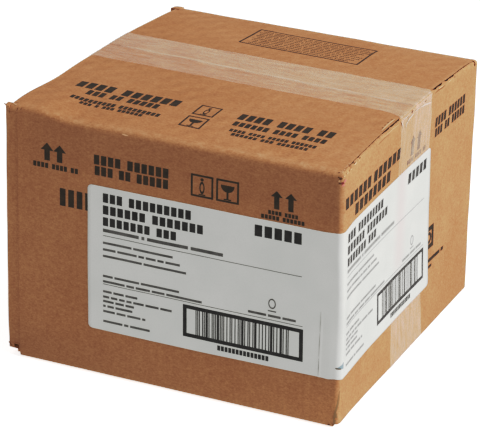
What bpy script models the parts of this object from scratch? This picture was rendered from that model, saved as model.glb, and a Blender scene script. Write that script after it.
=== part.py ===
"""A shut, taped shipping carton of corrugated board, with a paper label round one corner.

The front wall faces -Y and the end wall with the label faces +X. The carton is one solid: it is
shut, so only its outer faces, its flap ends and its folds are modelled. The origin is on the floor,
below the middle of the carton.
"""

import math

import bmesh
import bpy
from mathutils import Vector

MM = 0.001

# Driving dimensions, outside, before the carton settles out of square.
LENGTH = 236 * MM
DEPTH = 234 * MM
HEIGHT = 174.5 * MM
BOARD = 3.5 * MM

# Folds and cut ends of the board. The walls' corners stand up in the slots beside the top flaps, and
# the right wall's rim along the whole of their ends.
FOLD_RADIUS = 2.2 * MM
SCORE_RADIUS = 3.2 * MM
FLAP_SETBACK_LEFT = 3.7 * MM
FLAP_SETBACK_RIGHT = 1.7 * MM
BASE_FLAP_SETBACK = 4 * MM
WALL_FOOT = 1.2 * MM
SLOT = 6 * MM
RIM_DROP = 1 * MM
RIM_REACH = 12 * MM
RIM_GAP = 0.5 * MM
RIM_RADIUS = 2.4 * MM
REAR_STUB = 0.3 * MM
UNDER_FLAP_GAP = 0.8 * MM
UNDER_FLAP_DEPTH = 3.2 * MM
SEAM_Y = 6 * MM
SEAM_WIDTH = 1.4 * MM
SEAM_GROOVE = 3 * MM

# The maker's joint: the board's cut edge stands proud of a narrow strip at the front's left corner.
JOINT_STRIP = 9.4 * MM
JOINT_STEP = 0.4 * MM
JOINT_SLOT_DEPTH = 5.5 * MM
JOINT_SLOT_HIGH = 5.6 * MM
JOINT_HOLE_WIDTH = 4.2 * MM
JOINT_HOLE_HIGH = 8.6 * MM

# Closing tapes and the label, as thin sheets a clearance away from what they cover.
CLEARANCE = 0.3 * MM
TAPE_THICKNESS = 0.4 * MM
TAPE_FOLD_OUT = 0.4 * MM
TAPE_FOLD_DROP = 2 * MM
TAPE_REACHES_WALL = 5 * MM
TAPE_TURN = 1.7 * MM
TAPE_WIDTH = 52 * MM
TOP_TAPE_Y = 10.5 * MM
BOTTOM_TAPE_Y = 0.5 * MM
TOP_TAPE_TAIL = 68 * MM
BOTTOM_TAPE_TAIL = 60 * MM
BASE_RECESS = 1.1 * MM
RECESS_MARGIN = 1 * MM
LABEL_THICKNESS = 0.4 * MM
LABEL_FRONT = 175 * MM
LABEL_END = 156 * MM
LABEL_LOW = 35 * MM
LABEL_HIGH = 136.5 * MM
LABEL_ROUNDING = 3 * MM

# How far the carton has settled out of square: its crowned top, its bowed walls and its corners.
CROWN = 3.8 * MM
CROWN_REACH = 24 * MM
REAR_FLAP_DROP = 2.5 * MM
CORNER_LIFT = 3.7 * MM
CORNER_LIFT_REACH = 50 * MM
END_WALL_HOLLOW = 3.8 * MM
FRONT_WALL_BULGE = 0.9 * MM
# How far a corner has moved in X and Y. A corner is (right, back, top), each 1 or 0.
CORNER_LEANS = {
    (0, 0, 0): (-0.7 * MM, 0.0),
    (0, 0, 1): (0.6 * MM, 0.0),
    (1, 0, 0): (1.8 * MM, 0.0),
    (1, 1, 0): (2.4 * MM, -0.4 * MM),
    (1, 0, 1): (-1.0 * MM, -0.6 * MM),
    (1, 1, 1): (1.8 * MM, 0.0),
    (0, 1, 1): (8.6 * MM, 2.5 * MM),
}

HALF_LENGTH = LENGTH / 2
HALF_DEPTH = DEPTH / 2
CORNER_TURN = FOLD_RADIUS * math.pi / 2
FLAPS_LEFT = -HALF_LENGTH + FLAP_SETBACK_LEFT
FLAPS_RIGHT = HALF_LENGTH - FLAP_SETBACK_RIGHT


def clear_scene():
    for item in list(bpy.data.objects):
        bpy.data.objects.remove(item, do_unlink=True)


def new_collection(name):
    collection = bpy.data.collections.new(name)
    bpy.context.scene.collection.children.link(collection)
    return collection


def new_material(name, colour, roughness, alpha=1.0):
    material = bpy.data.materials.new(name)
    material.use_nodes = True
    shader = material.node_tree.nodes["Principled BSDF"]
    shader.inputs["Base Color"].default_value = (*colour, 1.0)
    shader.inputs["Roughness"].default_value = roughness
    shader.inputs["Metallic"].default_value = 0.0
    shader.inputs["Alpha"].default_value = alpha
    return material


def object_from_bmesh(name, bm, collection):
    mesh = bpy.data.meshes.new(name)
    bm.to_mesh(mesh)
    bm.free()
    item = bpy.data.objects.new(name, mesh)
    collection.objects.link(item)
    return item


def add_box(name, low, high, collection, rolled_axis=None, radius=0.0, segments=4):
    """A box between two corners, with the edges along one axis, or all of them, rounded."""
    low = Vector(low)
    high = Vector(high)
    bm = bmesh.new()
    bmesh.ops.create_cube(bm, size=1.0)
    for vert in bm.verts:
        for axis in range(3):
            vert.co[axis] = high[axis] if vert.co[axis] > 0 else low[axis]
    if radius:
        edges = [edge for edge in bm.edges if edge_runs_along(edge, rolled_axis)]
        bmesh.ops.bevel(bm, geom=edges, offset=radius, segments=segments, profile=0.5, affect="EDGES")
    return object_from_bmesh(name, bm, collection)


def edge_runs_along(edge, axis):
    if axis is None:
        return True
    run = edge.verts[1].co - edge.verts[0].co
    return abs(run[axis]) > 0.99 * run.length


def as_cutter(item):
    item.hide_render = True
    item.display_type = "WIRE"
    return item


def apply_boolean(item, operation, others):
    """Joins the other objects to an object, or cuts them from it, and removes them."""
    bpy.context.view_layer.objects.active = item
    for other in others:
        modifier = item.modifiers.new(other.name, "BOOLEAN")
        modifier.operation = operation
        modifier.object = other
        bpy.ops.object.modifier_apply(modifier=modifier.name)
        bpy.data.objects.remove(other, do_unlink=True)


def smooth_step(value, start, end):
    t = min(max((value - start) / (end - start), 0.0), 1.0)
    return t * t * (3 - 2 * t)


def crown_height(x, y):
    """How far the top stands above its scores: a shallow pillow with one lifted corner."""
    v = y / HALF_DEPTH
    pillow = CROWN * max(1 - v ** 4, 0.0) - REAR_FLAP_DROP * smooth_step(y, 0, HALF_DEPTH)
    beside = smooth_step(-x, HALF_LENGTH - CORNER_LIFT_REACH, HALF_LENGTH - 0.4 * CORNER_LIFT_REACH)
    before = smooth_step(-y, HALF_DEPTH - 1.4 * CORNER_LIFT_REACH, HALF_DEPTH)
    return pillow + CORNER_LIFT * beside * before


def settle(point):
    """Moves a point of the square carton to where the settled one has it."""
    place = (0.5 + point.x / LENGTH, 0.5 + point.y / DEPTH, point.z / HEIGHT)
    moved = point.copy()
    for corner, (lean_x, lean_y) in CORNER_LEANS.items():
        share = math.prod(part if at_far_side else 1 - part for part, at_far_side in zip(place, corner))
        moved.x += lean_x * share
        moved.y += lean_y * share
    right, back, up = place
    bow = 4 * up * (1 - up)
    moved.x -= END_WALL_HOLLOW * bow * 4 * back * (1 - back) * right ** 4
    moved.y -= FRONT_WALL_BULGE * bow * 4 * right * (1 - right) * (1 - back) ** 4
    lifted = smooth_step(point.z, HEIGHT - CROWN_REACH, HEIGHT - 2 * MM)
    moved.z += lifted * crown_height(point.x, point.y)
    return moved


def settle_mesh(item):
    for vert in item.data.vertices:
        vert.co = settle(vert.co)


def slice_mesh(item, cuts_by_axis):
    """Adds edges along planes across each axis, so that flat faces can take a bow."""
    bm = bmesh.new()
    bm.from_mesh(item.data)
    for axis, cuts in enumerate(cuts_by_axis):
        normal = Vector((0, 0, 0))
        normal[axis] = 1
        for cut in cuts:
            geometry = bm.verts[:] + bm.edges[:] + bm.faces[:]
            bmesh.ops.bisect_plane(bm, geom=geometry, dist=0.00001, plane_co=normal * cut, plane_no=normal)
    bmesh.ops.triangulate(bm, faces=bm.faces[:])
    bm.to_mesh(item.data)
    bm.free()


def evenly(low, high, count):
    """The places that cut a length into count equal runs, without its two ends."""
    return [low + (high - low) * index / count for index in range(1, count)]


def flap_pairs(collection):
    """The ends of the four long flaps, which cover the rolled scores of the two end walls."""
    rows = {
        "front": (-HALF_DEPTH + SLOT, SEAM_Y),
        "rear": (SEAM_Y, HALF_DEPTH - SLOT),
    }
    levels = {
        "top": (HEIGHT - BOARD, FLAPS_LEFT, FLAPS_RIGHT),
        "bottom": (0.0, -HALF_LENGTH + BASE_FLAP_SETBACK, HALF_LENGTH - BASE_FLAP_SETBACK),
    }
    flaps = []
    for level, (floor, left, right) in levels.items():
        for row, (near, far) in rows.items():
            low = (left, near, floor)
            high = (right, far, floor + BOARD)
            flaps.append(add_box(f"{level}_{row}_flap", low, high, collection))
    return flaps


def standing_rims(collection):
    """What stands up beside the top flaps: the walls' four corners, and the right wall's rim."""
    beyond = 10 * MM
    wrap_left = FLAPS_LEFT + UNDER_FLAP_DEPTH
    wrap_right = FLAPS_RIGHT - UNDER_FLAP_DEPTH
    slot_y = HALF_DEPTH - SLOT + RIM_GAP
    rims = []
    for name, top in (("rims", HEIGHT - RIM_DROP), ("rear_stub", HEIGHT + REAR_STUB)):
        low = (-HALF_LENGTH, -HALF_DEPTH, HEIGHT - RIM_REACH)
        high = (HALF_LENGTH, HALF_DEPTH, top)
        rim = add_box(name, low, high, collection, 2, RIM_RADIUS, 3)
        floor, ceiling = low[2] - beyond, top + beyond
        cuts = {
            "between_corners": (
                (wrap_left - RIM_GAP, -HALF_DEPTH - beyond, floor),
                (wrap_right + RIM_GAP, HALF_DEPTH + beyond, ceiling),
            ),
            "flap_ends": (
                (-HALF_LENGTH - beyond, -slot_y, floor),
                (FLAPS_RIGHT + RIM_GAP, slot_y, ceiling),
            ),
        }
        if name == "rear_stub":
            cuts["only_rear_left"] = (
                (-HALF_LENGTH - beyond, -HALF_DEPTH - beyond, floor),
                (HALF_LENGTH + beyond, slot_y, ceiling),
            )
            cuts["not_right"] = (
                (0, -HALF_DEPTH - beyond, floor),
                (HALF_LENGTH + beyond, HALF_DEPTH + beyond, ceiling),
            )
        apply_boolean(rim, "DIFFERENCE", [add_box(cut, *box, collection) for cut, box in cuts.items()])
        rims.append(rim)
    return rims


def carton_cutters(collection):
    beyond = 10 * MM
    half_seam = SEAM_WIDTH / 2
    half_recess = TAPE_WIDTH / 2 + RECESS_MARGIN
    strip_x = -HALF_LENGTH + JOINT_STRIP
    slot_y = -HALF_DEPTH + JOINT_SLOT_DEPTH
    boxes = {
        "top_seam": (
            (-HALF_LENGTH - beyond, SEAM_Y - half_seam, HEIGHT - SEAM_GROOVE),
            (HALF_LENGTH + beyond, SEAM_Y + half_seam, HEIGHT + beyond),
        ),
        "bottom_seam": (
            (-HALF_LENGTH - beyond, SEAM_Y - half_seam, -beyond),
            (HALF_LENGTH + beyond, SEAM_Y + half_seam, SEAM_GROOVE),
        ),
        "base_recess": (
            (-HALF_LENGTH - beyond, BOTTOM_TAPE_Y - half_recess, -beyond),
            (HALF_LENGTH + beyond, BOTTOM_TAPE_Y + half_recess, BASE_RECESS),
        ),
        "joint_strip": (
            (-HALF_LENGTH - beyond, -HALF_DEPTH - beyond, JOINT_SLOT_HIGH + BOARD),
            (strip_x, -HALF_DEPTH + JOINT_STEP, HEIGHT - SCORE_RADIUS),
        ),
        "joint_slot": (
            (-HALF_LENGTH - beyond, -HALF_DEPTH - beyond, -beyond),
            (strip_x, slot_y, JOINT_SLOT_HIGH),
        ),
        "joint_hole": (
            (strip_x - JOINT_HOLE_WIDTH, -HALF_DEPTH - beyond, -beyond),
            (strip_x, slot_y, JOINT_HOLE_HIGH),
        ),
    }
    return [as_cutter(add_box(name, low, high, collection)) for name, (low, high) in boxes.items()]


def make_carton(parts, guides, material):
    """The walls and their rims, the wrap of the long flaps, and the flap ends, as one solid."""
    under_flap = BOARD + UNDER_FLAP_GAP
    walls_low = (-HALF_LENGTH, -HALF_DEPTH, WALL_FOOT)
    walls_high = (HALF_LENGTH, HALF_DEPTH, HEIGHT - under_flap)
    carton = add_box("carton", walls_low, walls_high, parts, None, FOLD_RADIUS, 3)
    wrap_low = (FLAPS_LEFT + UNDER_FLAP_DEPTH, -HALF_DEPTH, 0.0)
    wrap_high = (FLAPS_RIGHT - UNDER_FLAP_DEPTH, HALF_DEPTH, HEIGHT)
    wrap = add_box("wrap", wrap_low, wrap_high, guides, 0, SCORE_RADIUS, 4)
    apply_boolean(carton, "UNION", [wrap] + flap_pairs(guides) + standing_rims(guides))
    apply_boolean(carton, "DIFFERENCE", carton_cutters(guides))
    slice_mesh(carton, (
        evenly(-HALF_LENGTH, HALF_LENGTH, 12),
        evenly(-HALF_DEPTH, HALF_DEPTH, 12),
        evenly(0, HEIGHT - CROWN_REACH, 6) + evenly(HEIGHT - CROWN_REACH, HEIGHT, 5),
    ))
    settle_mesh(carton)
    carton.data.materials.append(material)
    return carton


def sheet_from_grid(name, along, across, place, collection, rounding=0.0):
    """A flat grid whose points are sent to their places on the carton, then settled with it."""
    bm = bmesh.new()
    bmesh.ops.create_grid(bm, x_segments=len(along) - 1, y_segments=len(across) - 1, size=0.5)
    for vert in bm.verts:
        column = round((vert.co.x + 0.5) * (len(along) - 1))
        row = round((vert.co.y + 0.5) * (len(across) - 1))
        vert.co = (along[column], across[row], 0)
    if rounding:
        corners = [vert for vert in bm.verts if len(vert.link_faces) == 1]
        bmesh.ops.bevel(bm, geom=corners, offset=rounding, segments=3, profile=0.5, affect="VERTICES")
    for vert in bm.verts:
        vert.co = settle(place(vert.co.x, vert.co.y))
    return object_from_bmesh(name, bm, collection)


def thicken(item, thickness, material):
    """Gives a sheet its thickness on its outer side."""
    solidify = item.modifiers.new("thickness", "SOLIDIFY")
    solidify.thickness = thickness
    solidify.offset = 1.0
    item.data.materials.append(material)


def tape_route(side, level, outward, tail):
    """Half of a tape's course in X and Z: along a flap pair, round the end and on to a wall."""
    wall = HALF_LENGTH + CLEARANCE
    top = level + outward * CLEARANCE
    on_wall = level - outward * TAPE_REACHES_WALL
    tail_end = level - outward * tail
    if outward > 0 and side < 0:
        flap_end = -FLAPS_LEFT + CLEARANCE
        bend = [(flap_end, top), (flap_end + TAPE_FOLD_OUT, level - TAPE_FOLD_DROP)]
    elif outward > 0:
        bend = [(wall - TAPE_TURN, top), (wall, HEIGHT - RIM_DROP + CLEARANCE)]
    else:
        chamfer = (FOLD_RADIUS + CLEARANCE) * math.tan(math.pi / 8)
        bend = [
            (wall - FOLD_RADIUS - CLEARANCE + chamfer, top),
            (wall, top + FOLD_RADIUS + CLEARANCE - chamfer),
        ]
    route = [(HALF_LENGTH * step / 6, top) for step in range(6)] + bend
    route += [(wall, on_wall + (tail_end - on_wall) * step / 4) for step in range(5)]
    return [(side * x, z) for x, z in route]


def make_tape(name, level, outward, tail, middle, parts, material):
    """A closing tape over the flap seam and down, or up, both end walls."""
    left = tape_route(-1, level, outward, tail)
    right = tape_route(1, level, outward, tail)
    route = left[:0:-1] + right
    if outward < 0:
        route = route[::-1]
    across = [middle + TAPE_WIDTH * (step / 4 - 0.5) for step in range(5)]

    def place(index, y):
        x, z = route[round(index)]
        return Vector((x, y, z))

    tape = sheet_from_grid(name, list(range(len(route))), across, place, parts)
    thicken(tape, TAPE_THICKNESS, material)
    return tape


def label_offset(past_corner):
    """The label lies on the front wall, and on the tapes of the end wall."""
    over_tape = 2 * CLEARANCE + TAPE_THICKNESS
    return CLEARANCE + (over_tape - CLEARANCE) * smooth_step(past_corner, 5 * MM, 45 * MM)


def label_place(along, z):
    """A place on the label's inner side: along runs from the corner, negative on the front wall."""
    offset = label_offset(along)
    if along < -CORNER_TURN / 2:
        return Vector((HALF_LENGTH - FOLD_RADIUS + along + CORNER_TURN / 2, -HALF_DEPTH - offset, z))
    if along > CORNER_TURN / 2:
        return Vector((HALF_LENGTH + offset, -HALF_DEPTH + FOLD_RADIUS + along - CORNER_TURN / 2, z))
    angle = (along / CORNER_TURN - 0.5) * math.pi / 2
    reach = FOLD_RADIUS + offset
    x = HALF_LENGTH - FOLD_RADIUS + reach * math.cos(angle)
    y = -HALF_DEPTH + FOLD_RADIUS + reach * math.sin(angle)
    return Vector((x, y, z))


def make_label(parts, material):
    bend = CORNER_TURN / 2
    front = [-LABEL_FRONT + (LABEL_FRONT - bend) * step / 10 for step in range(10)]
    corner = [CORNER_TURN * (step / 4 - 0.5) for step in range(5)]
    end = [bend + (LABEL_END - bend) * step / 10 for step in range(1, 11)]
    rows = [LABEL_LOW + (LABEL_HIGH - LABEL_LOW) * step / 4 for step in range(5)]
    label = sheet_from_grid("label", front + corner + end, rows, label_place, parts, LABEL_ROUNDING)
    thicken(label, LABEL_THICKNESS, material)
    return label


def recentre(items):
    """Puts the middle of the whole carton over the origin, which the settling moved a little."""
    bpy.context.view_layer.update()
    depsgraph = bpy.context.evaluated_depsgraph_get()
    corners = [Vector(corner) for item in items for corner in item.evaluated_get(depsgraph).bound_box]
    low = [min(corner[axis] for corner in corners) for axis in range(3)]
    high = [max(corner[axis] for corner in corners) for axis in range(3)]
    middle = (Vector(low) + Vector(high)) / 2
    for item in items:
        for vert in item.data.vertices:
            vert.co -= Vector((middle.x, middle.y, 0))


def main():
    clear_scene()
    parts = new_collection("shipping_carton")
    guides = new_collection("cutters")
    kraft = new_material("kraft_board", (0.43, 0.24, 0.11), 0.85)
    film = new_material("clear_tape", (0.60, 0.45, 0.36), 0.35, 0.6)
    paper = new_material("label_paper", (0.78, 0.79, 0.76), 0.6)
    carton = make_carton(parts, guides, kraft)
    top_tape = make_tape("tape_top", HEIGHT, 1, TOP_TAPE_TAIL, TOP_TAPE_Y, parts, film)
    base = BASE_RECESS
    bottom_tape = make_tape("tape_bottom", base, -1, BOTTOM_TAPE_TAIL, BOTTOM_TAPE_Y, parts, film)
    label = make_label(parts, paper)
    recentre([carton, top_tape, bottom_tape, label])


main()
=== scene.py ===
"""The looks of a shut, taped shipping carton with a paper label round one upright corner.

Every visible piece is made on the same square carton as the solids, in its own flat places, and
then goes through seat(), which settles it as the solids are settled and adds the board's ripples.
Places and sizes are in mm up to seat(), which turns them into metres.
"""

import random
from math import ceil, cos, pi, prod, radians, sin

import bmesh
import bpy
import numpy as np
from mathutils import Matrix, Vector


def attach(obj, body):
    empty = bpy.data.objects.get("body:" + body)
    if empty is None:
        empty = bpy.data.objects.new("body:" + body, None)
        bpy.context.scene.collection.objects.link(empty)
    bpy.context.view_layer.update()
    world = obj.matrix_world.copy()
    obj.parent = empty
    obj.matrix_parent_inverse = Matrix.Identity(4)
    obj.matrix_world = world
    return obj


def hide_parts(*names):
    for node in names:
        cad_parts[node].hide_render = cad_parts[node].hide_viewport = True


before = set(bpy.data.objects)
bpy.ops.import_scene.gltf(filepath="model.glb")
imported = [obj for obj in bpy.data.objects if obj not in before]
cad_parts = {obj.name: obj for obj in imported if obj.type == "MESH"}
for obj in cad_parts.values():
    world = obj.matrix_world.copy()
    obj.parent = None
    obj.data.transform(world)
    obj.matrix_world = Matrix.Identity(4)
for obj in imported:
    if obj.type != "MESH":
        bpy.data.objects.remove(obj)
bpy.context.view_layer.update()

scene = bpy.context.scene

MM = 0.001

# The solids' own sizes, and how the carton has settled out of square. The end walls lie at END to
# the left and right, the long walls at SIDE to the front and back, and the top flaps' upper face at TOP.
LENGTH = 236
DEPTH = 234
TOP = 174.5
END = LENGTH / 2
SIDE = DEPTH / 2
BOARD = 3.5
FOLD_RADIUS = 2.2
SCORE_RADIUS = 3.2
FLAPS_LEFT = -END + 3.7
FLAPS_RIGHT = END - 1.7
BASE_FLAP_SETBACK = 4
WALL_FOOT = 1.2
SLOT = 6
RIM_DROP = 1
RIM_REACH = 12
RIM_GAP = 0.5
RIM_RADIUS = 2.4
RIM_Y = SIDE - SLOT + RIM_GAP
REAR_STUB = 0.3
REAR_POST_MORE = 3
UNDER_FLAP_GAP = 0.8
UNDER_FLAP_DEPTH = 3.2
SEAM_Y = 6
SEAM_WIDTH = 0.8
SEAM_GROOVE = 0.3
STRIP_X = -END + 9.4
JOINT_STEP = 0.4
JOINT_SLOT_Y = -SIDE + 5.5
JOINT_SLOT_HIGH = 5.6
JOINT_HOLE_WIDTH = 4.2
JOINT_HOLE_HIGH = 8.6
TAPE_WIDTH = 50.6
BASE_RECESS = 1.1
RECESS_MARGIN = 1
CROWN = 3.8
CROWN_REACH = 24
REAR_FLAP_DROP = 2.5
CORNER_LIFT = 3.7
CORNER_LIFT_REACH = 50
END_WALL_HOLLOW = 3.8
FRONT_WALL_BULGE = 0.9
CORNER_LEANS = {
    (0, 0, 0): (-0.7, 0), (0, 0, 1): (0.6, 0), (1, 0, 0): (1.8, 0), (1, 1, 0): (2.4, -0.4),
    (1, 0, 1): (-1.0, -0.6), (1, 1, 1): (1.8, 0), (0, 1, 1): (8.6, 2.5),
}
RECENTRE = (0.7991, 0.3603)

# The film, paper and ink lie this far off the board, each above what it covers.
INK_LIFT = 0.05
INK_THICKNESS = 0.03
MARK_LIFT = 0.1
TAPE_LIFT = 0.14
TAPE_THICKNESS = 0.07
LABEL_LIFT = 0.14
LABEL_LIFT_ON_TAPE = 0.27
LABEL_THICKNESS = 0.13
FILM_LIFT = 0.55

# The meshes are no coarser than this, and what cuts the carton reaches this far past it.
GRID = 3
OUT = 10
OUT_X = END + OUT
OUT_Y = SIDE + OUT

# Wear that only the looks have: the walls' foot is lower at the back, the left post is thin and the
# right corner is crushed shut. The tables give how far the wall beside the near upright edge stands
# out at each z, how far the rim's gap is open at each y, and how much shade is painted on the foot at
# each x, with painted light below zero.
FOOT_SLOPE = 1.2
LEFT_POST_DEPTH = 5
CORNER_ROUND = 3.6
CORNER_OUT = (
    (0, 0.6), (33, 0.8), (50, 1), (62, 1.3), (75, 1.5), (92, 1.8), (105, 1.4), (120, 0.9), (150, 1),
    (174, 0.5),
)
CRUSHED_CORNER = 12.5
CORNER_NOTCH = 2.6
JOINT_LINE = 0.2
JOINT_LINE_DEPTH = 0.5
JOINT_HOLE_SHIFT = 0.8
OPEN_GAP = (
    (-107, 0.3), (-100, 0.45), (-98, 1.1), (-96, 0.3), (-92, 0.35), (-90, 1.3), (-88, 0.35), (-75, 0.4),
    (-52, 0.6), (-49, 1.1), (-25, 1.3), (-22, 0), (34, 0), (37, 1.6), (50, 1.7), (52, 0.1), (55, 0.1),
    (58, 1.5), (71, 1.4), (74, 0.7), (96, 0.8), (104, 0.3), (112, 0.3),
)
FOOT_SHADE = (
    (-118, 0.85), (-95, 0.8), (-75, 0.5), (-60, 0.5), (-30, 0.3), (0, 0.1), (20, -0.15), (80, -0.4),
    (116, -1),
)

# The tapes' tails, and the arch of a wrinkle at the top of the right one, as y and z.
TOP_TAIL = 68
BASE_TAIL = 60
TAPE_WRINKLE = (
    (-19, 165), (-13.6, 168.4), (-6, 170.2), (3.4, 171.1), (17.2, 169.8), (30.4, 167.5), (38, 166.6),
)

# The label, measured along from the corner, and its lower and upper edge as along, low and high.
CORNER_TURN = FOLD_RADIUS * pi / 2
LABEL_FRONT = 175
LABEL_END = 158.5
LABEL_LOW = 33
LABEL_HIGH = 134.5
LABEL_ROUNDING = 3
LABEL_EDGES = (
    (-175, 33.6, 135.3), (-100, 33.6, 135.2), (-55, 34.1, 134.9), (-12, 34.5, 134.8), (-7.5, 34.5, 135.0),
    (-3, 35.3, 135.3), (3, 34.6, 135.6), (20, 33.4, 135.8), (50, 33.5, 135.6), (159, 33.5, 136.2),
)
LABEL_PRINT_LEFT = -46.4
LABEL_END_SHIFT = -59.6

# Each ink's or stain's colour, its colour where it is thin, its roughness and how well it has kept.
INKS = {
    "carton_ink": ((48, 39, 28), (100, 74, 48)),
    "label_ink": ((34, 32, 30), (80, 78, 74), 0.6, 0.1),
    "label_fine_ink": ((92, 90, 86), (150, 148, 144)),
    "label_end_ink": ((66, 63, 62), (112, 110, 106)),
    "label_end_fine_ink": ((138, 137, 134), (176, 175, 171)),
    "torn_liner": ((222, 182, 146), (204, 158, 120), 0.9),
    # Painted shade for the board's pits and holes.
    "pit_shade": ((98, 62, 39), (128, 86, 56), 0.9),
    # Painted shade for the board's creases and folds.
    "fold_shade": ((128, 82, 50), (150, 102, 66), 0.9),
    "red_smear": ((196, 118, 108), (206, 146, 120), 0.8),
    "red_clot": ((120, 36, 42), (140, 60, 56), 0.7),
    "corner_grime": ((150, 121, 88), (166, 130, 94), 0.9),
    # Painted shadow line of the label's crease.
    "crease_shadow": ((176, 176, 170), (200, 200, 196), 0.8),
    "bare_film": ((138, 156, 166), (150, 164, 172), 0.5),
    "torn_paper_edge": ((104, 92, 76), (130, 118, 100), 0.9),
    # Painted highlights of the tape's creases.
    "film_crease_highlight": ((228, 208, 188), (216, 190, 166), 0.4),
    # Painted shade of the gap's holes seen through the tape.
    "film_spot_shade": ((118, 84, 66), (150, 110, 88), 0.5),
}

# The camera fitted to the photograph: its focal length in pixels, and its azimuth, its tilt up from
# straight down and its small roll in degrees.
IMAGE_WIDTH = 480
FOCAL_LENGTH = 2666.02
CAMERA_TURNS = (("Z", 24.014), ("X", 90 - 23.980), ("Z", 1.1735))
CAMERA_PLACE = (665.874, -1501.634, 805.604)

# A photograph's contrast: deeper shadows, and whites that come up softly.
TONE_CURVE = (
    (0.03, 0.0235), (0.06, 0.0465), (0.1, 0.088), (0.15, 0.161), (0.22, 0.264), (0.32, 0.425), (0.46, 0.556),
    (0.65, 0.69),
)
SURROUND_LIGHT = 0.358


def rise(value, start, end):
    """From nothing at start smoothly up to one at end."""
    t = np.clip((value - start) / (end - start), 0.0, 1.0)
    return t * t * (3 - 2 * t)


def fall(value, start, end):
    return 1 - rise(value, start, end)


def hump(value, middle, half_width):
    """One at the middle, falling smoothly to nothing on both sides."""
    return fall(abs(value - middle), 0, half_width)


def look_up(value, table):
    """Reads a table of pairs, straight from row to row."""
    return np.interp(value, *zip(*table))


def ripple(a, b, wavelength, seed):
    """Smooth bumps of about one wavelength, mostly between -1 and 1, the same at every run."""
    draw = random.Random(seed)
    total = 0.0
    for _ in range(7):
        turn = draw.uniform(0, 2 * pi)
        pitch = 2 * pi / (wavelength * draw.uniform(0.7, 1.5))
        phase = draw.uniform(0, 2 * pi)
        total = total + np.sin(pitch * (a * cos(turn) + b * sin(turn)) + phase)
    return total / 4


def crown_height(x, y):
    v = y / SIDE
    pillow = CROWN * np.maximum(1 - v ** 4, 0.0) - REAR_FLAP_DROP * rise(y, 0, SIDE)
    beside = rise(-x, END - CORNER_LIFT_REACH, END - 0.4 * CORNER_LIFT_REACH)
    before = rise(-y, SIDE - 1.4 * CORNER_LIFT_REACH, SIDE)
    return pillow + CORNER_LIFT * beside * before


def settle(points):
    """Moves points of the square carton to where the settled one has them, as the solids are."""
    x, y, z = points.T
    right, back, up = place = (0.5 + x / LENGTH, 0.5 + y / DEPTH, z / TOP)
    moved = points.copy()
    for corner, lean in CORNER_LEANS.items():
        share = prod(part if at_far_side else 1 - part for part, at_far_side in zip(place, corner))
        moved[:, :2] += share[:, None] * lean
    bow = 4 * up * (1 - up)
    moved[:, 0] -= END_WALL_HOLLOW * bow * 4 * back * (1 - back) * right ** 4
    moved[:, 1] -= FRONT_WALL_BULGE * bow * 4 * right * (1 - right) * (1 - back) ** 4
    moved[:, 2] += rise(z, TOP - CROWN_REACH, TOP - 2) * crown_height(x, y)
    return moved


def seam_line(x):
    """Where the seam between the two top flaps runs: a little askew."""
    return 7.2 - 0.05 * x


def crush_corner(points):
    """How far the knocked-in near right top corner is from where it would be."""
    x, y, z = points.T
    away = np.sqrt((END - x) ** 2 + (SIDE + y) ** 2 + (TOP - z) ** 2)
    depth = fall(away, 1.5, 11) * (0.55 + 0.35 * ripple(x + z, y - z, 4.5, 27))
    return np.stack([-0.5 * depth, 0.4 * depth, -0.8 * depth], -1)


def corner_bulge(y, z):
    """How far the end wall stands out beside the near right upright edge."""
    return look_up(z, CORNER_OUT) * fall(y + SIDE, 3, 24)


def round_corner(points):
    """How far the near right upright edge, worn rounder than the others, is from where it would be."""
    x, y, z = points.T
    u = np.maximum(x - END + CORNER_ROUND, 0)
    v = np.maximum(-y - SIDE + CORNER_ROUND, 0)
    angle = np.arctan2(v, np.maximum(u, 1e-6))
    wide, narrow = np.maximum(np.cos(angle), np.sin(angle)), np.minimum(np.cos(angle), np.sin(angle))
    inner, both = CORNER_ROUND - FOLD_RADIUS, wide + narrow
    on_arc = inner * both + np.sqrt(np.maximum(inner ** 2 * (both ** 2 - 2) + FOLD_RADIUS ** 2, 0))
    reach = np.where(CORNER_ROUND * narrow > inner * wide, on_arc, CORNER_ROUND / wide)
    share = 0.35 + 0.65 * rise(TOP - z, 2, 14)
    pull = np.where((u > 0) & (v > 0), (CORNER_ROUND / reach - 1) * share, 0)
    out = corner_bulge(y, z) * rise(x, END - 24, END - 2)
    return np.stack([out + u * pull, -v * pull, 0 * z], -1)


def ripple_board(points):
    """The board's own unevenness, inward and outward from each face."""
    x, y, z = points.T
    on_end = rise(abs(x), END - 9, END - 4) * np.sign(x)
    on_long = rise(abs(y), SIDE - 9, SIDE - 4) * np.sign(y)
    on_top = rise(z, TOP - 9, TOP - 4)
    moved = points + crush_corner(points) + round_corner(points)
    joint_foot = fall(z, 5, 30) * fall(x + END, 4, 14) * fall(y + SIDE, 4, 14)
    moved[:, 0] += on_end * (0.16 * ripple(y + x, z, 42, 11) - 0.14) + 0.8 * joint_foot
    moved[:, 1] += on_long * (0.14 * ripple(x + y, z, 46, 12) - 0.12)
    step = rise(y - seam_line(x), -0.7, 0.7) * fall(y, 15, 70) * rise(x + END, 4, 40)
    hang = hump(y, -67, 50) * fall(x, FLAPS_LEFT, FLAPS_LEFT + 45)
    moved[:, 2] += on_top * (0.2 * ripple(x, y, 44, 13) - 0.2 + 0.45 * step - 0.5 * hang)
    return moved


def seat(points):
    """From the square carton in mm to the finished place in metres."""
    return (settle(ripple_board(np.asarray(points, float))) - (*RECENTRE, 0)) * MM


def add_object(name, data):
    item = bpy.data.objects.new(name, data)
    scene.collection.objects.link(item)
    return item


def new_object(name, verts, faces, material, smooth=True):
    mesh = bpy.data.meshes.new(name)
    mesh.from_pydata(verts.tolist(), [], faces.tolist())
    mesh.validate()
    mesh.polygons.foreach_set("use_smooth", [smooth] * len(mesh.polygons))
    mesh.materials.append(material)
    return add_object(name, mesh)


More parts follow.
